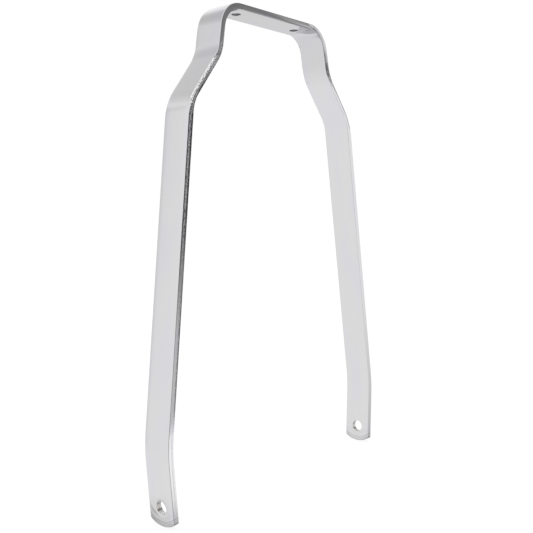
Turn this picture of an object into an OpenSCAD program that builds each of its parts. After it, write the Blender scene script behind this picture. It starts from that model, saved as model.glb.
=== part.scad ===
// Upright hoop bent cold from one flat steel bar. A crosspiece with two holes lies on top,
// and on each side the bar runs down a narrow neck, out over a shoulder, down a long leg and
// round a soft knee into a drilled foot that turns in.
// X runs across the legs, Y front to back and Z up. The origin lies midway between the feet,
// at the height of their tips. Every run and bend is set on the bar's middle line.

/* [Bar] */
// Width of the flat bar, front to back
bar_w = 25.4; // [20:0.1:32]
// Thickness of the flat bar
bar_t = 4.76; // [3:0.01:6.4]
// Radius of the bar's long edges and of the rims of its two ends
edge_r = 0.8; // [0.2:0.1:1.2]

/* [Hoop] */
// Height from the foot tips to the top face of the crosspiece
hoop_h = 382.5; // [330:0.5:480]
// Width of the crosspiece, between the corners where its middle line meets the necks
crosspiece_w = 122; // [110:1:128]
// Width across the middle lines where the necks meet the shoulders
neck_w = 135; // [128:1:150]
// Drop of the middle line from the crosspiece to the foot of the necks
neck_drop = 37; // [33:0.5:50]
// Width across the middle lines where the shoulders meet the legs
shoulder_w = 196; // [170:1:220]
// Drop of the middle line over each shoulder
shoulder_drop = 38; // [26:0.5:55]
// Height above the tips at which the legs turn in to the feet
knee_h = 57.5; // [42:0.5:80]

/* [Bends, inside radius] */
// Bends between the crosspiece and the necks
top_bend_r = 18; // [9:0.5:22]
// Bends between the necks and the shoulders
neck_bend_r = 24; // [10:0.5:36]
// Bends between the shoulders and the legs
shoulder_bend_r = 27; // [10:0.5:45]
// Bends at the knees
knee_bend_r = 103; // [60:1:150]

/* [Feet] */
// Distance between the inner faces of the feet, at the foot holes
mount_span = 248; // [225:1:285]
// Angle by which each foot turns in from upright
foot_tilt = 3.8; // [0:0.1:7]
// Radius of the rounded end of each foot
foot_end_r = 22; // [17:0.5:30]
// Distance from the tip of each foot to the centre of its hole
foot_hole_inset = 14; // [11:0.5:20]
// Diameter of each foot hole
foot_hole_d = 10.3; // [6:0.1:13]

/* [Crosspiece holes] */
// Distance between the two holes in the crosspiece
top_hole_gap = 72; // [40:1:76]
// Diameter of each hole in the crosspiece
top_hole_d = 7.1; // [4:0.1:10]

/* [Finish] */
// Width of the small chamfer that breaks the edge of every hole
hole_break = 0.4; // [0.1:0.1:0.8]

/* [Hidden] */
$fn = 120;

// How far a cutting body reaches past the face that it cuts
past = 1;

// Amount by which the cold-bent stretches stand proud of the straight ones, all round
swell = 0.01;

// Length by which a straight stretch reaches into the bend beside it
lap = 0.2;

// Lowest point of a tilted, round-rimmed foot below the tip of its middle line
tip_sink = (bar_t / 2 - edge_r) * sin(foot_tilt) + edge_r * (1 - cos(foot_tilt));

// Right foot: heading of its middle line, centre of its hole, and tip
foot_heading = [-sin(foot_tilt), -cos(foot_tilt)];
foot_hole = [
    mount_span / 2 + bar_t / 2 * cos(foot_tilt),
    tip_sink + foot_hole_inset * cos(foot_tilt),
];
foot_tip = foot_hole + foot_hole_inset * foot_heading;

// Corners of the right half's middle line, in X and Z, from the centre of the crosspiece
top_z = hoop_h - bar_t / 2;
neck_z = top_z - neck_drop;
shoulder_z = neck_z - shoulder_drop;
knee_x = foot_hole.x + (knee_h - foot_hole.y) * tan(foot_tilt);
corners = [
    [0, top_z],
    [crosspiece_w / 2, top_z],
    [neck_w / 2, neck_z],
    [shoulder_w / 2, shoulder_z],
    [knee_x, knee_h],
    foot_tip,
];
inside_radii = [0, top_bend_r, neck_bend_r, shoulder_bend_r, knee_bend_r, 0];
last = len(corners) - 1;

// Direction of a run, as an angle from +X towards +Z
function heading(i) = let (d = corners[i + 1] - corners[i]) atan2(d.y, d.x);

// Turn of the middle line at a corner: positive to the left, so away from the legs
function turn(i) = heading(i) - heading(i - 1);

// Radius of the middle line in a bend
function bend_r(i) = inside_radii[i] + bar_t / 2;

// Length that a bend takes from the run on each side of its corner
function setback(i) = (i == 0 || i == last) ? 0 : bend_r(i) * tan(abs(turn(i)) / 2);

// Length of the straight stretch that a run keeps between its two bends
function straight_length(i) =
    norm(corners[i + 1] - corners[i]) - setback(i) - setback(i + 1);

// Rectangle with four round corners, about the origin
module rounded_rectangle(size, r) {
    square([size.x - 2 * r, size.y], center = true);
    square([size.x, size.y - 2 * r], center = true);
    for (side_x = [-1, 1], side_y = [-1, 1])
        translate([side_x * (size.x / 2 - r), side_y * (size.y / 2 - r)])
            circle(r = r);
}

// Cross-section of the bar: thickness along X, width along Y
module bar_section(grow = 0) {
    rounded_rectangle([bar_t + 2 * grow, bar_w + 2 * grow], edge_r + grow);
}

// The bar is drawn as it is bent, in a frame that travels along it: X points along the
// middle line, Y across the width and Z out of the face that ends up outermost.

// Straight stretch along X, between two distances from the origin
module straight_bar(from, to) {
    translate([from, 0, 0])
        rotate([0, 90, 0])
            linear_extrude(to - from)
                bar_section();
}

// Bend from the origin along X and down, about a hub below
module bend(r, angle) {
    translate([0, 0, -r])
        rotate([-90, -90, 0])
            rotate_extrude(angle = angle)
                translate([r, 0])
                    bar_section(swell);
}

// Carries its children to the far end of a bend that starts at the origin
module past_bend(r, angle) {
    translate([0, 0, -r])
        rotate([0, angle, 0])
            translate([0, 0, r])
                children();
}

// Drill along Z through a bar about the origin, which also breaks the edges of its hole
module drill(d) {
    cylinder(d = d, h = bar_t + 2 * past, center = true);
    for (side = [0, 1])
        mirror([0, 0, side])
            translate([0, 0, bar_t / 2 - hole_break])
                cylinder(r1 = d / 2, r2 = d / 2 + hole_break + past, h = hole_break + past);
}

// Outline of a foot, from its tip at the origin back along -X: a disc with a rounded rim,
// and plain space from the middle of the disc on
module foot_outline() {
    translate([-foot_end_r, 0, 0])
        rotate_extrude()
            intersection() {
                rounded_rectangle([2 * foot_end_r, bar_t], edge_r);
                translate([0, -bar_t])
                    square([2 * foot_end_r, 2 * bar_t]);
            }
    translate([-foot_end_r - knee_h, -bar_w, -bar_t])
        cube([knee_h, 2 * bar_w, 2 * bar_t]);
}

// Foot, from the end of the knee at the origin to the rounded end
module foot() {
    length = straight_length(last - 1);
    difference() {
        intersection() {
            straight_bar(-lap, length);
            translate([length, 0, 0])
                foot_outline();
        }
        translate([length - foot_hole_inset, 0, 0])
            drill(foot_hole_d);
    }
}

// The bar from a bend on, to the end of its foot. A bend to the left is one to the right,
// mirrored, and the run after it is mirrored back.
module bar_from(i) {
    to_left = turn(i) > 0 ? 1 : 0;
    mirror([0, 0, to_left]) {
        bend(bend_r(i), abs(turn(i)));
        past_bend(bend_r(i), abs(turn(i)))
            mirror([0, 0, to_left])
                run_from(i);
    }
}

// The bar from the end of a bend on
module run_from(i) {
    if (i == last - 1) {
        foot();
    } else {
        straight_bar(-lap, straight_length(i) + lap);
        translate([straight_length(i), 0, 0])
            bar_from(i + 1);
    }
}

// Right half of the crosspiece, from its centre at the origin, with its hole
module half_crosspiece() {
    difference() {
        straight_bar(0, straight_length(0) + lap);
        translate([top_hole_gap / 2, 0, 0])
            drill(top_hole_d);
    }
}

module bent_bar() {
    color("gainsboro")
        translate([0, 0, top_z])
            for (side = [0, 1])
                mirror([side, 0, 0]) {
                    half_crosspiece();
                    translate([straight_length(0), 0, 0])
                        bar_from(1);
                }
}

bent_bar();
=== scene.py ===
import math
from collections import namedtuple

import bmesh
import bpy
from mathutils import Matrix, Vector


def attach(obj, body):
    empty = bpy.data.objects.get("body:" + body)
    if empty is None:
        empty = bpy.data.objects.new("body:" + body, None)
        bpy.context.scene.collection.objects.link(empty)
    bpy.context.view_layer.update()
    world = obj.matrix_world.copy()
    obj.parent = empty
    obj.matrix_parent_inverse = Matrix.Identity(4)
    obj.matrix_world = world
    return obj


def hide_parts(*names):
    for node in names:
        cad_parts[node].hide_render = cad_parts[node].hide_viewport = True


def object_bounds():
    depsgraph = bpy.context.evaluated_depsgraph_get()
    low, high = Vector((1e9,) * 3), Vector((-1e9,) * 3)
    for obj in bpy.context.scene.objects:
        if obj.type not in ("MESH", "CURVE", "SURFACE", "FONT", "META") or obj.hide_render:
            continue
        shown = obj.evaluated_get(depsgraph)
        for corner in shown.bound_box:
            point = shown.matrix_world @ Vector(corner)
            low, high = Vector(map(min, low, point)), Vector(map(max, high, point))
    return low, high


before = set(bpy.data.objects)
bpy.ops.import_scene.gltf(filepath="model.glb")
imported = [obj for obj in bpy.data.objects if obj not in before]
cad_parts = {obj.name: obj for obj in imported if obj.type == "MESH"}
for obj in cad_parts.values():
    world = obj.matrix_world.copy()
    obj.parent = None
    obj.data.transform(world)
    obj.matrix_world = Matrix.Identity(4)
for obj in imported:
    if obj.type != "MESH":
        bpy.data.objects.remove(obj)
cad_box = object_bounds()

# A hoop bent from one flat bar. Its mesh is made as the bar is: a straight blank with round
# ends and holes, in coordinates s along it, y across its width and n out of its outer face,
# which is then bent. Lengths are in metres.

MM = 0.001

# Section of the bar
BAR_W = 25.4 * MM
BAR_T = 4.76 * MM
EDGE_R = 0.8 * MM

# Hoop, as widths and drops of the corners of its middle line, and inside radii of its bends
HOOP_H = cad_box[1].z
CROSSPIECE_W = 122 * MM
NECK_W = 135 * MM
NECK_DROP = 37 * MM
SHOULDER_W = 196 * MM
SHOULDER_DROP = 38 * MM
KNEE_H = 57.5 * MM
INSIDE_RADII = (18 * MM, 24 * MM, 27 * MM, 103 * MM)

# Feet and holes
MOUNT_SPAN = 248 * MM
FOOT_TILT = math.radians(3.8)
FOOT_END_R = 22 * MM
FOOT_CORNER_R = 1.6 * MM
FOOT_HOLE_INSET = 14 * MM
FOOT_HOLE_R = 5.15 * MM
TOP_HOLE_GAP = 72 * MM
TOP_HOLE_R = 3.55 * MM
RIM_R = 0.45 * MM

# Edges as the photo shows them, which are crisper than the solid's
ARRIS_R = 0.35 * MM

# What polishing and grinding take off: the depth at an edge, and how far in it reaches
ROLL_OFF = (0.07 * MM, 4.5 * MM)
END_ROLL_OFF = (0.13 * MM, 8 * MM)
DISH = (0.05 * MM, 2.5 * MM)

# Height of the slight crown across the narrow sides
SIDE_CROWN = 0.07 * MM

# How far the outside of a bend draws in across the width, as a share of its stretch, and the
# length over which that sets in
DRAW_IN = 0.08
DRAW_REACH = 3 * MM

# Bevel worn along the outer edges of the shoulders: its depth, the height of the section where
# it starts, and the stretch where it is full with the length over which it fades out
BEVEL = 0.9 * MM
BEVEL_START = -0.3 * MM
BEVEL_SPAN = (104 * MM, 141 * MM)
BEVEL_FADE = 10 * MM

# Fineness of the mesh
BEND_STEP = math.radians(1.2)
STRAIGHT_STEP = 4 * MM
END_STEPS = 30
CORNER_STEPS = 8
ROUND_STEPS = 5
SIDE_STEPS = 8
COLUMNS = 20
HOLE_RINGS = 7
HOLE_PATCH = 8.8 * MM
STATION_GAP = 1 * MM
BORE_STEPS = 3
MERGE_REACH = 0.002 * MM

# Small step over which slopes are measured, and within which stations are one
NEAR = 0.01 * MM


# Middle line of the bent bar


def polar(angle):
    """Unit vector at an angle."""
    return Vector((math.cos(angle), math.sin(angle)))


def make_stretches():
    """Stretches of the right half's middle line, from the crosspiece's centre to the foot's tip.

    Each is (length, radius, turn). A straight one has no turn, and a turn is positive to the
    left, which is away from the legs.
    """
    top = HOOP_H - BAR_T / 2
    tip_sink = (BAR_T / 2 - EDGE_R) * math.sin(FOOT_TILT) + EDGE_R * (1 - math.cos(FOOT_TILT))
    hole = Vector((
        MOUNT_SPAN / 2 + BAR_T / 2 * math.cos(FOOT_TILT),
        tip_sink + FOOT_HOLE_INSET * math.cos(FOOT_TILT),
    ))
    corners = [
        Vector((0, top)),
        Vector((CROSSPIECE_W / 2, top)),
        Vector((NECK_W / 2, top - NECK_DROP)),
        Vector((SHOULDER_W / 2, top - NECK_DROP - SHOULDER_DROP)),
        Vector((hole.x + (KNEE_H - hole.y) * math.tan(FOOT_TILT), KNEE_H)),
        hole + FOOT_HOLE_INSET * polar(-math.pi / 2 - FOOT_TILT),
    ]
    runs = [end - start for start, end in zip(corners, corners[1:])]
    headings = [math.atan2(run.y, run.x) for run in runs]
    turns = [after - before for before, after in zip(headings, headings[1:])]
    radii = [r + BAR_T / 2 for r in INSIDE_RADII]
    setbacks = [0] + [r * math.tan(abs(turn) / 2) for r, turn in zip(radii, turns)] + [0]
    stretches = []
    for i, run in enumerate(runs):
        stretches.append((run.length - setbacks[i] - setbacks[i + 1], 0, 0))
        if i < len(turns):
            stretches.append((radii[i] * abs(turns[i]), radii[i], turns[i]))
    return stretches


STRETCHES = make_stretches()
HALF_LENGTH = sum(length for length, radius, turn in STRETCHES)

# The right half's holes, as (station, radius)
FOOT_HOLE = HALF_LENGTH - FOOT_HOLE_INSET
HOLES = ((TOP_HOLE_GAP / 2, TOP_HOLE_R), (FOOT_HOLE, FOOT_HOLE_R))


def follow(s):
    """Point (X, Z) and heading of the right half's middle line, s from its start."""
    point = Vector((0, HOOP_H - BAR_T / 2))
    heading = 0
    for length, radius, turn in STRETCHES:
        step = min(s, length)
        if turn:
            hub_side = math.copysign(math.pi / 2, turn)
            hub = point + radius * polar(heading + hub_side)
            heading += turn * step / length
            point = hub - radius * polar(heading + hub_side)
        else:
            point = point + step * polar(heading)
        s -= step
        if s <= 0:
            break
    return point, heading


def step_up(value, low, high):
    """Smooth step from 0 to 1 between two limits."""
    share = min(1, max(0, (value - low) / (high - low)))
    return share * share * (3 - 2 * share)


def bevelled(s, n):
    """Depth of the bevel on each side of a shoulder."""
    first, last = BEVEL_SPAN
    full = step_up(abs(s), first - BEVEL_FADE, first)
    full *= step_up(-abs(s), -last - BEVEL_FADE, -last)
    rise = max(0, n - BEVEL_START) / (BAR_T / 2 - BEVEL_START)
    return BEVEL * full * rise ** 2


def width_kept(s, n):
    """Share of its width that the bar keeps, at a height n of its section."""
    before = follow(max(0, abs(s) - DRAW_REACH))[1]
    after = follow(abs(s) + DRAW_REACH)[1]
    curvature = (after - before) / (2 * DRAW_REACH)
    drawn_in = DRAW_IN * (abs(curvature) * BAR_T / 2 - curvature * n)
    return 1 - drawn_in - bevelled(s, n) / (BAR_W / 2)


def bend_place(place, normal):
    """Place and normal in the frame, for those of a point of the straight blank."""
    s, y, n = place
    side = math.copysign(1, s)
    point, heading = follow(abs(s))
    along = Vector((math.cos(heading), 0, math.sin(heading)))
    out = Vector((-math.sin(heading), 0, math.cos(heading)))
    kept = width_kept(s, n)
    slope_s = (width_kept(s + NEAR, n) - width_kept(s - NEAR, n)) / (2 * NEAR)
    slope_n = (width_kept(s, n + NEAR) - width_kept(s, n - NEAR)) / (2 * NEAR)
    across = normal.y / kept
    lean = Vector((normal.x - across * y * slope_s, across, normal.z - across * y * slope_n))
    bent_place = Vector((point.x, y * kept, point.y)) + n * out
    bent_normal = side * lean.x * along + Vector((0, lean.y, 0)) + lean.z * out
    bent_place.x *= side
    bent_normal.x *= side
    return bent_place, bent_normal.normalized()


# Straight blank


def rim_profile(r, crown, side_steps):
    """Profile from the upper flat round to the lower one, as (inset, n, angle) where the angle
    turns the normal from straight up, past straight out, to straight down."""
    upper = []
    for i in range(ROUND_STEPS + 1):
        turn = math.pi / 2 * i / ROUND_STEPS
        n = BAR_T / 2 - r * (1 - math.cos(turn))
        lean = 2 * crown * n / (BAR_T / 2) ** 2
        inset = r * (1 - math.sin(turn)) + crown * (n / (BAR_T / 2)) ** 2
        upper.append((inset, n, math.atan2(math.sin(turn), math.cos(turn) + lean * math.sin(turn))))
    side = []
    for i in range(1, side_steps):
        n = (BAR_T / 2 - r) * (1 - 2 * i / side_steps)
        lean = 2 * crown * n / (BAR_T / 2) ** 2
        side.append((crown * (n / (BAR_T / 2)) ** 2, n, math.atan2(1, lean)))
    lower = [(inset, -n, math.pi - angle) for inset, n, angle in reversed(upper)]
    return upper + side + lower


def foot_corner():
    """Centre of the small corner between the foot's round end and the bar's side."""
    y = BAR_W / 2 - FOOT_CORNER_R
    s = HALF_LENGTH - FOOT_END_R + math.sqrt((FOOT_END_R - FOOT_CORNER_R) ** 2 - y ** 2)
    return s, y


def side_stations():
    """Stations along the bar's straight side, from its centre to the corner of the foot."""
    last = foot_corner()[0]
    stations = []
    start = 0
    for length, radius, turn in STRETCHES:
        straight_step = STRAIGHT_STEP / 2 if start < BEVEL_SPAN[1] else STRAIGHT_STEP
        steps = max(1, round(abs(turn) / BEND_STEP if turn else length / straight_step))
        stations += [start + length * i / steps for i in range(steps)]
        start += length
    for hole, r in HOLES:
        kept = [s for s in stations if abs(s - hole) > HOLE_PATCH + STATION_GAP]
        patch = [hole + HOLE_PATCH * (2 * i / COLUMNS - 1) for i in range(COLUMNS + 1)]
        stations = kept + patch
    return sorted(s for s in stations if s < last - NEAR) + [last]


def half_outline():
    """Plan outline of the blank on one side, tip to tip, as (s, y, angle of its normal)."""
    disc = HALF_LENGTH - FOOT_END_R
    corner_s, corner_y = foot_corner()
    meet = math.atan2(corner_y, corner_s - disc)
    end = []
    for i in range(END_STEPS):
        angle = meet * i / END_STEPS
        end.append((disc + FOOT_END_R * math.cos(angle), FOOT_END_R * math.sin(angle), angle))
    for i in range(CORNER_STEPS):
        angle = meet + (math.pi / 2 - meet) * i / CORNER_STEPS
        along = corner_s + FOOT_CORNER_R * math.cos(angle)
        end.append((along, corner_y + FOOT_CORNER_R * math.sin(angle), angle))
    right = end + [(s, BAR_W / 2, math.pi / 2) for s in reversed(side_stations())]
    left = [(-s, y, math.pi - angle) for s, y, angle in reversed(right)]
    return right + left[1:]


class Blank:
    """Vertices and faces of the straight blank."""

    def __init__(self):
        self.places = []
        self.normals = []
        self.faces = []

    def point(self, s, y, n, normal):
        self.places.append(Vector((s, y, n)))
        self.normals.append(Vector(normal))
        return len(self.places) - 1

    def join(self, rows, closed=False):
        """Quads between neighbouring rows of as many points each."""
        for before, after in zip(rows, rows[1:]):
            pairs = list(zip(before, after))
            if closed:
                pairs.append(pairs[0])
            for (a, b), (c, d) in zip(pairs, pairs[1:]):
                self.faces.append((a, b, d, c))

    def rim(self, outline):
        """Rounded side all round the outline."""
        whole = outline + [(s, -y, -angle) for s, y, angle in reversed(outline[1:-1])]
        rows = []
        for inset, n, turn in rim_profile(ARRIS_R, SIDE_CROWN, SIDE_STEPS):
            row = []
            for s, y, angle in whole:
                c, d = math.cos(angle), math.sin(angle)
                normal = (math.sin(turn) * c, math.sin(turn) * d, math.cos(turn))
                row.append(self.point(s - inset * c, y - inset * d, n, normal))
            rows.append(row)
        self.join(rows, closed=True)

    def flat(self, outline, up, holes):
        """One flat face, in columns across it, with a ring of faces round each hole."""
        n = up * BAR_T / 2
        inset = ARRIS_R + SIDE_CROWN
        spread = [math.sin(math.pi / 2 * (2 * i / COLUMNS - 1)) for i in range(COLUMNS + 1)]
        starts = []
        rows = []
        for s, y, angle in outline:
            start = s - inset * math.cos(angle)
            reach = y - inset * math.sin(angle)
            starts.append(start)
            rows.append([self.point(start, reach * share, n, (0, 0, up)) for share in spread])
        patches = []
        for hole, r in holes:
            inside = [i for i, s in enumerate(starts) if abs(s - hole) < HOLE_PATCH + NEAR]
            patches.append((inside[0], inside[-1]))
            self.ring([rows[i] for i in inside], hole, r, n)
        for i in range(len(rows) - 1):
            if not any(first <= i < last for first, last in patches):
                self.join([rows[i], rows[i + 1]])

    def ring(self, rows, hole, r, n):
        """Faces between a square patch's border and the rim of the hole in its middle."""
        border = rows[0][:-1] + [row[-1] for row in rows[:-1]]
        border += rows[-1][:0:-1] + [row[0] for row in rows[:0:-1]]
        up = math.copysign(1, n)
        corner = self.places[border[0]]
        first = math.atan2(math.copysign(1, corner.y), math.copysign(1, corner.x - hole))
        second = self.places[border[1]]
        spin = math.copysign(1, corner.x - hole) * math.copysign(1, second.y - corner.y)
        loops = [border]
        for j in range(1, HOLE_RINGS + 1):
            share = j / HOLE_RINGS
            loop = []
            for i, index in enumerate(border):
                angle = first + spin * 2 * math.pi * i / len(border)
                rim = Vector((hole, 0, n)) + (r + RIM_R) * polar(angle).to_3d()
                place = self.places[index].lerp(rim, share)
                loop.append(self.point(*place, (0, 0, up)))
            loops.append(loop)
        self.join(loops, closed=True)

    def bore(self, hole, r):
        """Wall of a hole, with its rounded rims."""
        rows = []
        around = 4 * COLUMNS
        for inset, n, turn in rim_profile(RIM_R, 0, BORE_STEPS):
            row = []
            for i in range(around):
                out = polar(math.pi / 4 + 2 * math.pi * i / around)
                s, y = Vector((hole, 0)) + (r + inset) * out
                normal = (-math.sin(turn) * out.x, -math.sin(turn) * out.y, math.cos(turn))
                row.append(self.point(s, y, n, normal))
            rows.append(row)
        self.join(rows, closed=True)


def worn(depth_and_reach, distance):
    """Depth taken off at a distance from an edge."""
    depth, reach = depth_and_reach
    return depth * max(0, 1 - distance / reach) ** 2


def taken_off(s, y):
    """Depth that polishing and grinding take off a flat face of the blank."""
    depth = worn(ROLL_OFF, BAR_W / 2 - abs(y))
    from_disc = abs(s) - (HALF_LENGTH - FOOT_END_R)
    if from_disc > 0:
        depth += worn(END_ROLL_OFF, FOOT_END_R - math.hypot(from_disc, y))
    for hole, r in HOLES:
        depth += worn(DISH, max(0, math.hypot(abs(s) - hole, y) - r))
    return depth


def polish(place, normal):
    """Place and normal of a point of the blank once polishing has taken its share."""
    s, y, n = place
    depth = taken_off(s, y)
    slope_s = (taken_off(s + NEAR, y) - taken_off(s - NEAR, y)) / (2 * NEAR)
    slope_y = (taken_off(s, y + NEAR) - taken_off(s, y - NEAR)) / (2 * NEAR)
    share = n / (BAR_T / 2)
    up = normal.z / (1 - depth / (BAR_T / 2))
    leaned = Vector((normal.x + share * slope_s * up, normal.y + share * slope_y * up, up))
    return Vector((s, y, n - share * depth)), leaned.normalized()


def bar_mesh():
    """Mesh of the bent bar, with the blank's coordinates kept as an attribute."""
    blank = Blank()
    outline = half_outline()
    holes = [(side * s, r) for s, r in HOLES for side in (1, -1)]
    blank.rim(outline)
    blank.flat(outline, 1, holes)
    blank.flat(outline, -1, holes)
    for hole, r in holes:
        blank.bore(hole, r)

    work = bmesh.new()
    kept_place = work.verts.layers.float_vector.new("blank")
    kept_normal = work.verts.layers.float_vector.new("normal")
    for place, normal in zip(blank.places, blank.normals):
        bent_place, bent_normal = bend_place(*polish(place, normal))
        vertex = work.verts.new(bent_place)
        vertex[kept_place] = place
        vertex[kept_normal] = bent_normal
    work.verts.ensure_lookup_table()
    for face in blank.faces:
        work.faces.new([work.verts[i] for i in face])
    bmesh.ops.remove_doubles(work, verts=work.verts, dist=MERGE_REACH)
    bmesh.ops.recalc_face_normals(work, faces=work.faces)
    for face in work.faces:
        face.smooth = True
    normals = [vertex[kept_normal].normalized() for vertex in work.verts]
    work.verts.layers.float_vector.remove(kept_normal)
    mesh = bpy.data.meshes.new("bent_bar_chromed")
    work.to_mesh(mesh)
    work.free()
    mesh.normals_split_custom_set_from_vertices(normals)
    return mesh


# Marks on the bar: the sizes of their grains along s, y and n, their detail and their depth

Mark = namedtuple("Mark", "sizes detail depth")

WAVES = Mark((34 * MM, 20 * MM, 20 * MM), 1.0, 0.030 * MM)
POLISHING_LINES = Mark((25 * MM, 0.5 * MM, 0.5 * MM), 3.0, 0.0012 * MM)
ROLLING_STREAKS = Mark((1.7 * MM, 0.9 * MM, 0.9 * MM), 1.0, 0.038 * MM)
NICKS = Mark((1.2 * MM, 0.9 * MM, 0.9 * MM), 1.0, 0.550 * MM)
DRILL_CHATTER = Mark((2 * MM, 2 * MM, 2 * MM), 2.0, 0.200 * MM)
GRINDING_ARCS = Mark((0.8 * MM, 1.5 * MM, 1 * MM), 1.0, 0.012 * MM)
LINES_STRENGTH = 0.6

# Share of y that goes into the grinding arcs, so that they change a little across the width
ARC_DRIFT = 0.08

# Where marks set in and end: in from the edge of the width, along the bar from its centre, up
# from the middle of its thickness, back from its tips, and out from the wall of a hole
SIDE_EDGE = (1.0 * MM, 0.3 * MM)
STREAKS_START = (60 * MM, 84 * MM)
STREAKS_END = (330 * MM, 390 * MM)
STREAKS_AT_TOP = 0.1
STREAKS_AT_FEET = 0.3
NICKS_START = (90 * MM, 100 * MM)
NICKS_END = (143 * MM, 150 * MM)
NICKS_RISE = (-0.4 * MM, 0.8 * MM)
FOOT_START = (26 * MM, 3 * MM)
HOLE_EDGE = (0.10 * MM, 0.30 * MM)

# Plate: its two tones and their patches, and the painted shade that darkens it towards the top
COOL_PLATE = (0.640, 0.634, 0.668, 1)
NEUTRAL_PLATE = (0.648, 0.648, 0.648, 1)
# Painted shade: the colour the plate is darkened towards at the top of the hoop
TOP_SHADE_COLOUR = (0.42, 0.42, 0.44, 1)
TONE_PATCHES = (60 * MM, 14 * MM, 14 * MM)
TONE_STEP = (0.35, 0.65)
TOP_SHADE_END = (80 * MM, 104 * MM)
TOP_SHADE_SHARE = 0.30

# Ends of the feet, scratched by grinding, and harder so on one side of the left foot
SCRATCHED = (0.36, 0.36, 0.37, 1)
SCRATCH_STEP = (0.40, 0.60)
SCRATCH_SHARE = 0.8
GRIND_REACH = 10 * MM
HARD_SIDE = (0, 8 * MM)
HARD_EXTRA_REACH = 6 * MM
HARD_EXTRA_SHARE = 0.5

# Walls of the holes. In the feet they are bare and pale, a painted bright reflection, with a band
# of painted dark reflection at depths below the hole's centre.
TOP_WALL = (0.46, 0.46, 0.47, 1)
# Pale colour of the feet's hole walls, painted in for a bright reflection
PALE_WALL = (1.0, 0.98, 0.92, 1)
GREY_WALL = (0.55, 0.55, 0.56, 1)
# Dark brown band on the feet's hole walls, a painted dark reflection
PAINTED_DARK_BAND = (0.16, 0.13, 0.11, 1)
DARK_BAND_START = (1.7 * MM, 2.5 * MM)
DARK_BAND_END = (3.3 * MM, 4.1 * MM)
GREY_START = (3.2 * MM, 4.2 * MM)

# Roughness of the plate, and what its lines, the feet and the holes add
PLATE_ROUGHNESS = 0.05
LINES_ROUGHNESS = 0.05
FEET_ROUGHNESS = 0.10
HOLES_ROUGHNESS = 0.20


# Shader nodes


def add(tree, kind, inputs=None, **settings):
    """New shader node with its settings, and its inputs set to values or linked."""
    made = tree.nodes.new("ShaderNode" + kind)
    for name, value in settings.items():
        setattr(made, name, value)
    for name, value in (inputs or {}).items():
        if isinstance(value, bpy.types.NodeSocket):
            tree.links.new(value, made.inputs[name])
        else:
            made.inputs[name].default_value = value
    return made


def calc(tree, operation, *values):
    """Result of a math node."""
    made = add(tree, "Math", operation=operation)
    for socket, value in zip(made.inputs, values):
        if isinstance(value, bpy.types.NodeSocket):
            tree.links.new(value, socket)
        else:
            socket.default_value = value
    return made.outputs[0]


def ramp(tree, value, low, high, to_low=0.0, to_high=1.0):
    """Smooth step of a value between two limits."""
    inputs = {
        "Value": value,
        "From Min": low,
        "From Max": high,
        "To Min": to_low,
        "To Max": to_high,
    }
    return add(tree, "MapRange", inputs, interpolation_type="SMOOTHSTEP").outputs["Result"]


def grain(tree, place, sizes, detail):
    """Noise from 0 to 1 whose grains have these sizes along the three axes of a place."""
    scale = tuple(1 / size for size in sizes)
    scaled = add(tree, "VectorMath", {0: place, 1: scale}, operation="MULTIPLY").outputs[0]
    inputs = {"Vector": scaled, "Scale": 1.0, "Detail": detail}
    return add(tree, "TexNoise", inputs).outputs["Fac"]


def mix(tree, share, first, second):
    """Colour between two colours."""
    inputs = {"Factor": share, "A": first, "B": second}
    return add(tree, "Mix", inputs, data_type="RGBA").outputs["Result"]


def new_material(name):
    """Material with its node tree and its shader."""
    material = bpy.data.materials.new(name)
    material.use_nodes = True
    return material, material.node_tree, material.node_tree.nodes["Principled BSDF"]


# Material of the bar


class BlankPlace:
    """Where a shaded point lies on the straight blank. Its regions are shares from 0 to 1."""

    def __init__(self, tree):
        self.tree = tree
        self.place = add(tree, "Attribute", attribute_name="blank").outputs["Vector"]
        signed = add(tree, "SeparateXYZ", {"Vector": self.place}).outputs
        self.signed_s = signed["X"]
        self.signed_y = signed["Y"]
        self.n = signed["Z"]
        self.s = calc(tree, "ABSOLUTE", self.signed_s)
        self.y = calc(tree, "ABSOLUTE", self.signed_y)
        self.at_side = ramp(tree, self.y, *(BAR_W / 2 - gap for gap in SIDE_EDGE))
        self.from_disc = self.distance_from(HALF_LENGTH - FOOT_END_R)
        self.on_foot = ramp(tree, self.s, *(HALF_LENGTH - gap for gap in FOOT_START))

    def distance_from(self, centre):
        """Distance from a station on the middle of the width."""
        along = calc(self.tree, "SUBTRACT", self.s, centre)
        square = calc(self.tree, "POWER", along, 2)
        squares = calc(self.tree, "ADD", square, calc(self.tree, "POWER", self.y, 2))
        return calc(self.tree, "SQRT", squares)

    def narrow_sides(self):
        """Narrow sides, with a smaller share near the top and on the feet."""
        start = ramp(self.tree, self.s, *STREAKS_START, STREAKS_AT_TOP, 1.0)
        end = ramp(self.tree, self.s, *STREAKS_END, 1.0, STREAKS_AT_FEET)
        return calc(self.tree, "MULTIPLY", calc(self.tree, "MULTIPLY", self.at_side, start), end)

    def shoulder_edges(self):
        """Outer edges of the shoulders."""
        start = ramp(self.tree, self.s, *NICKS_START)
        end = ramp(self.tree, self.s, *NICKS_END, 1.0, 0.0)
        on_shoulder = calc(self.tree, "MULTIPLY", start, end)
        at_side = calc(self.tree, "MULTIPLY", self.at_side, on_shoulder)
        return calc(self.tree, "MULTIPLY", at_side, ramp(self.tree, self.n, *NICKS_RISE))

    def holes(self):
        """Walls of the holes."""
        share = 0.0
        for hole, r in HOLES:
            start, end = (r + gap for gap in HOLE_EDGE)
            inside = ramp(self.tree, self.distance_from(hole), start, end, 1.0, 0.0)
            share = calc(self.tree, "ADD", share, inside)
        return share


def bumped(tree, layers):
    """Normal of a surface with marks on it, given as (mark, height, strength)."""
    normal = None
    for mark, height, strength in layers:
        inputs = {"Strength": strength, "Distance": mark.depth, "Height": height}
        if normal:
            inputs["Normal"] = normal
        normal = add(tree, "Bump", inputs).outputs[0]
    return normal


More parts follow.
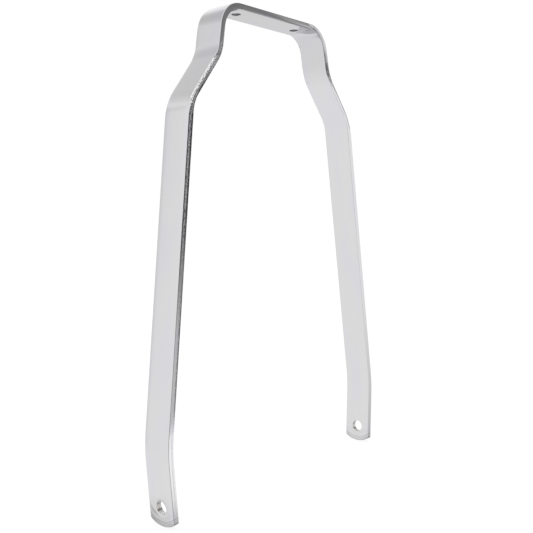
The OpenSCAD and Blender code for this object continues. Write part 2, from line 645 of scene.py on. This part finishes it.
def plate_colour(tree, blank, arcs):
    """Plate in two close tones, darkened towards the top by painted shade, and scratched at the
    ends of the feet.
    """
    tone = grain(tree, blank.place, TONE_PATCHES, 1.0)
    plate = mix(tree, ramp(tree, tone, *TONE_STEP), COOL_PLATE, NEUTRAL_PLATE)
    # Painted shade, darker towards the top
    plate = mix(tree, ramp(tree, blank.s, *TOP_SHADE_END, TOP_SHADE_SHARE, 0.0), plate, TOP_SHADE_COLOUR)

    on_left = ramp(tree, blank.signed_s, -MM, MM, 1.0, 0.0)
    hard = calc(tree, "MULTIPLY", on_left, ramp(tree, blank.signed_y, *HARD_SIDE))
    start = calc(tree, "MULTIPLY_ADD", hard, -HARD_EXTRA_REACH, FOOT_END_R - GRIND_REACH)
    near_end = ramp(tree, blank.from_disc, start, calc(tree, "ADD", start, GRIND_REACH))
    scratches = ramp(tree, arcs, *SCRATCH_STEP, 0.0, SCRATCH_SHARE)
    ground = calc(tree, "MULTIPLY", near_end, scratches)
    ground = calc(tree, "MULTIPLY", ground, calc(tree, "MULTIPLY_ADD", hard, HARD_EXTRA_SHARE, 1.0))
    return mix(tree, calc(tree, "MULTIPLY", ground, blank.on_foot), plate, SCRATCHED)


def wall_colour(tree, blank):
    """Grey walls in the top holes, and in the feet's pale ones, a painted bright reflection, with a
    band of painted dark reflection and a grey bottom.
    """
    below = calc(tree, "SUBTRACT", blank.s, FOOT_HOLE)
    pale_to_grey = mix(tree, ramp(tree, below, *GREY_START), PALE_WALL, GREY_WALL)
    # Band of painted dark reflection across the lower wall
    dark_band_share = calc(
        tree, "MULTIPLY",
        ramp(tree, below, *DARK_BAND_START),
        ramp(tree, below, *DARK_BAND_END, 1.0, 0.0),
    )
    return mix(tree, blank.on_foot, TOP_WALL, mix(tree, dark_band_share, pale_to_grey, PAINTED_DARK_BAND))


def chrome_material():
    """Bright plate over polished flat bar: softly waved flats, rolling streaks along the narrow
    sides, nicks on the outer edges of the shoulders, fine polishing lines along the bar,
    grinding arcs round the ends of the feet, and bare walls with drill marks in their holes.
    Its colour carries painted shade towards the top, and on the walls of the feet's holes a
    painted bright reflection with a band of painted dark reflection."""
    material, tree, shader = new_material("chrome_plate")
    blank = BlankPlace(tree)
    in_hole = blank.holes()
    bare = calc(tree, "MULTIPLY", in_hole, blank.on_foot)

    def height(mark, place=blank.place):
        return grain(tree, place, mark.sizes, mark.detail)

    rings = add(tree, "CombineXYZ", {
        "X": blank.from_disc,
        "Y": calc(tree, "MULTIPLY", blank.y, ARC_DRIFT),
    }).outputs[0]
    arcs = height(GRINDING_ARCS, rings)
    lines = height(POLISHING_LINES)
    normal = bumped(tree, (
        (WAVES, height(WAVES), 1.0),
        (POLISHING_LINES, lines, LINES_STRENGTH),
        (ROLLING_STREAKS, height(ROLLING_STREAKS), blank.narrow_sides()),
        (NICKS, height(NICKS), blank.shoulder_edges()),
        (DRILL_CHATTER, height(DRILL_CHATTER), bare),
        (GRINDING_ARCS, arcs, blank.on_foot),
    ))
    colour = mix(tree, in_hole, plate_colour(tree, blank, arcs), wall_colour(tree, blank))
    rough = calc(tree, "MULTIPLY_ADD", lines, LINES_ROUGHNESS, PLATE_ROUGHNESS)
    rough = calc(tree, "MULTIPLY_ADD", blank.on_foot, FEET_ROUGHNESS, rough)
    rough = calc(tree, "MULTIPLY_ADD", in_hole, HOLES_ROUGHNESS, rough)
    tree.links.new(normal, shader.inputs["Normal"])
    tree.links.new(colour, shader.inputs["Base Color"])
    tree.links.new(rough, shader.inputs["Roughness"])
    tree.links.new(calc(tree, "SUBTRACT", 1.0, bare), shader.inputs["Metallic"])
    return material


# Object

bar = bpy.data.objects.new("bent_bar_chromed", bar_mesh())
bpy.context.scene.collection.objects.link(bar)
bar.data.materials.append(chrome_material())
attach(bar, "root")
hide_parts("bent_bar")


# Stage: a white floor without end, and a light tent drawn on the sky

FLOOR_REACH = 30
FLOOR_TONES = ((0.07, 0.07, 0.07, 1), (0.09, 0.09, 0.09, 1))
FLOOR_PATCHES = (0.4, 0.4, 0.4)
FLOOR_ROUGHNESS = 0.9
FLOOR_GLOW = 0.90


def floor_material():
    """Plain white floor lit from below like a light table, so that it hardly takes a shadow."""
    material, tree, shader = new_material("pale_floor")
    place = add(tree, "NewGeometry").outputs["Position"]
    colour = mix(tree, grain(tree, place, FLOOR_PATCHES, 2.0), *FLOOR_TONES)
    tree.links.new(colour, shader.inputs["Base Color"])
    shader.inputs["Roughness"].default_value = FLOOR_ROUGHNESS
    shader.inputs["Specular IOR Level"].default_value = 0.0
    shader.inputs["Emission Color"].default_value = (1, 1, 1, 1)
    shader.inputs["Emission Strength"].default_value = FLOOR_GLOW
    return material


bpy.ops.mesh.primitive_plane_add(size=2 * FLOOR_REACH, location=(0, 0, cad_box[0].z))
floor = bpy.context.object
floor.name = "floor"
floor.data.materials.append(floor_material())
floor.visible_glossy = False


def panel(tree, direction, spans, blurs):
    """Share of a soft-edged panel of the tent in a direction: azimuth and elevation in degrees."""
    share = 1.0
    for value, (low, high), blur in zip(direction, spans, blurs):
        gap = calc(tree, "WRAP", calc(tree, "SUBTRACT", value, (low + high) / 2), 180.0, -180.0)
        reach = (high - low) / 2
        inside = ramp(tree, calc(tree, "ABSOLUTE", gap), reach - blur, reach + blur, 1.0, 0.0)
        share = calc(tree, "MULTIPLY", share, inside)
    return share


# Brightness of the tent's bare walls
TENT_LEVEL = 1.08

# Panels of the tent, each over those before it: span in azimuth and in elevation, blur of its
# edges along the two, all in degrees, and brightness
PANELS = (
    # Roof, and the wall behind the hoop
    ((-200, 200), (36, 130), (9, 10), 0.80),
    ((-38, 50), (-14, 26), (5, 5), 0.80),
    ((14, 60), (24, 70), (16, 10), 1.14),
    ((-25, 95), (-12, 20), (8, 6), 0.15),
    ((-15, 36), (-32, -12), (8, 5), 0.55),
    # Floor of the tent, and low patches of its walls
    ((38, 62), (-26, -8), (6, 4), 0.91),
    ((-200, 200), (-130, -58), (9, 5), 0.30),
    ((321.8, 330), (-38, -27.5), (1.2, 2), 0.64),
    # Front right, which the narrow sides mirror
    ((95, 130), (-60, 11.0), (3, 0.3), 0.20),
    ((120, 129.5), (11.0, 12.3), (1, 0.2), 0.66),
    ((129, 205), (-16.5, 20), (1, 1.5), 0.70),
    ((129, 205), (-5, 30), (1, 5), 0.04),
    ((136.2, 140), (-5, 20), (0.6, 5), 0.55),
    ((129, 135.2), (-16.5, -5), (1, 3), 0.14),
    ((128.5, 205), (11.2, 34), (1, 0.6), 0.30),
    ((120, 128.2), (13.35, 34), (1.5, 0.15), 0.44),
    ((62, 140), (18, 50), (6, 3), 0.25),
    ((112, 123.4), (11.0, 19.6), (0.5, 0.8), 0.96),
    ((129.7, 134.5), (9.0, 11.8), (0.5, 0.5), 0.62),
    ((129, 200), (-21.5, -16.5), (2, 1), 1.30),
    ((129, 200), (-60, -22.8), (2, 1), 0.60),
    ((136.6, 138.2), (-23, -12), (0.4, 2), 0.78),
    # Dark room and overhead light on the camera's side
    ((175, 255), (-34, 26), (6, 5), 0.16),
    ((148, 265), (23, 70), (6, 4), 1.45),
)


def light_tent():
    """Sky that shows a light tent to what mirrors it, and plain white to the camera."""
    world = bpy.data.worlds.new("light_tent")
    world.use_nodes = True
    tree = world.node_tree
    direction = add(tree, "TexCoord").outputs["Generated"]
    split = add(tree, "SeparateXYZ", {"Vector": direction})
    turn = calc(tree, "ARCTAN2", split.outputs["X"], split.outputs["Y"])
    azimuth = calc(tree, "DEGREES", turn)
    elevation = calc(tree, "DEGREES", calc(tree, "ARCSINE", split.outputs["Z"]))
    level = TENT_LEVEL
    for azimuths, elevations, blurs, brightness in PANELS:
        share = panel(tree, (azimuth, elevation), (azimuths, elevations), blurs)
        mixed = add(tree, "Mix", {"Factor": share, "B": brightness})
        if isinstance(level, float):
            mixed.inputs["A"].default_value = level
        else:
            tree.links.new(level, mixed.inputs["A"])
        level = mixed.outputs["Result"]
    seen = add(tree, "LightPath").outputs["Is Camera Ray"]
    shown = add(tree, "Mix", {"Factor": seen, "A": level, "B": 1.0})
    background = tree.nodes["Background"]
    tree.links.new(shown.outputs["Result"], background.inputs["Strength"])
    background.inputs["Color"].default_value = (1, 1, 1, 1)
    return world


bpy.context.scene.world = light_tent()


# White card close in front of the far leg, whose narrow side would else mirror the dark room

CARD_X = (58 * MM, 260 * MM)
CARD_Y = -60 * MM
CARD_Z = (-60 * MM, 352 * MM)
CARD_LEVELS = (0.70, 1.10)
CARD_FULL_Z = 170 * MM
CARD_FADE = 11 * MM
CARD_FADED = 0.35


def card_material():
    """Card that glows evenly, but for its upper edge and lower half, where it is dimmer."""
    material = bpy.data.materials.new("glowing_card")
    material.use_nodes = True
    tree = material.node_tree
    tree.nodes.clear()
    place = add(tree, "NewGeometry").outputs["Position"]
    height = add(tree, "SeparateXYZ", {"Vector": place}).outputs["Z"]
    low, high = CARD_Z
    level = ramp(tree, height, low, CARD_FULL_Z, *CARD_LEVELS)
    fade = ramp(tree, height, high - CARD_FADE, high, 1.0, CARD_FADED)
    glow = add(tree, "Emission", {"Strength": calc(tree, "MULTIPLY", level, fade)})
    output = add(tree, "OutputMaterial")
    tree.links.new(glow.outputs[0], output.inputs["Surface"])
    return material


def add_card():
    """Card that shows only where it is mirrored."""
    (left, right), (low, high) = CARD_X, CARD_Z
    corners = [
        (left, CARD_Y, low),
        (right, CARD_Y, low),
        (right, CARD_Y, high),
        (left, CARD_Y, high),
    ]
    mesh = bpy.data.meshes.new("white_card")
    mesh.from_pydata(corners, [], [(0, 1, 2, 3)])
    card = bpy.data.objects.new("white_card", mesh)
    card.data.materials.append(card_material())
    bpy.context.scene.collection.objects.link(card)
    for kind in ("camera", "diffuse", "transmission", "volume_scatter", "shadow"):
        setattr(card, "visible_" + kind, False)


add_card()


# Soft light from straight above

SOFTBOX_ENERGY = 2
SOFTBOX_ANGLE = math.radians(100)

softbox = bpy.data.lights.new("overhead_softbox", "SUN")
softbox.energy = SOFTBOX_ENERGY
softbox.angle = SOFTBOX_ANGLE
overhead = bpy.data.objects.new("overhead_softbox", softbox)
overhead.visible_glossy = False
bpy.context.scene.collection.objects.link(overhead)


# Camera: turned about the point it was fitted on, at the middle of the hoop

CAMERA_AZIMUTH = math.radians(49.362)
CAMERA_ELEVATION = math.radians(-4.127)
CAMERA_ROLL = math.radians(1.309)
CAMERA_DISTANCE = 611.8 * MM
CAMERA_OFFSET = (3.8 * MM, 21.0 * MM)
AIM = Vector((0, 0, 200 * MM))
LENS = 49.67
SENSOR_WIDTH = 36


def add_camera():
    """Camera at the photo's viewing angle."""
    data = bpy.data.cameras.new("camera")
    data.sensor_fit = "HORIZONTAL"
    data.sensor_width = SENSOR_WIDTH
    data.lens = LENS
    camera = bpy.data.objects.new("camera", data)
    flat = math.cos(CAMERA_ELEVATION)
    ahead = Vector((
        math.sin(CAMERA_AZIMUTH) * flat,
        math.cos(CAMERA_AZIMUTH) * flat,
        math.sin(CAMERA_ELEVATION),
    ))
    right = ahead.cross(Vector((0, 0, 1))).normalized()
    up = right.cross(ahead)
    spin = Matrix.Rotation(CAMERA_ROLL, 3, ahead)
    right = spin @ right
    up = spin @ up
    place = AIM - CAMERA_OFFSET[0] * right - CAMERA_OFFSET[1] * up - CAMERA_DISTANCE * ahead
    turned = Matrix((right, up, -ahead)).transposed().to_4x4()
    camera.matrix_world = Matrix.Translation(place) @ turned
    bpy.context.scene.collection.objects.link(camera)
    bpy.context.scene.camera = camera


add_camera()
bpy.context.scene.view_settings.view_transform = "Standard"
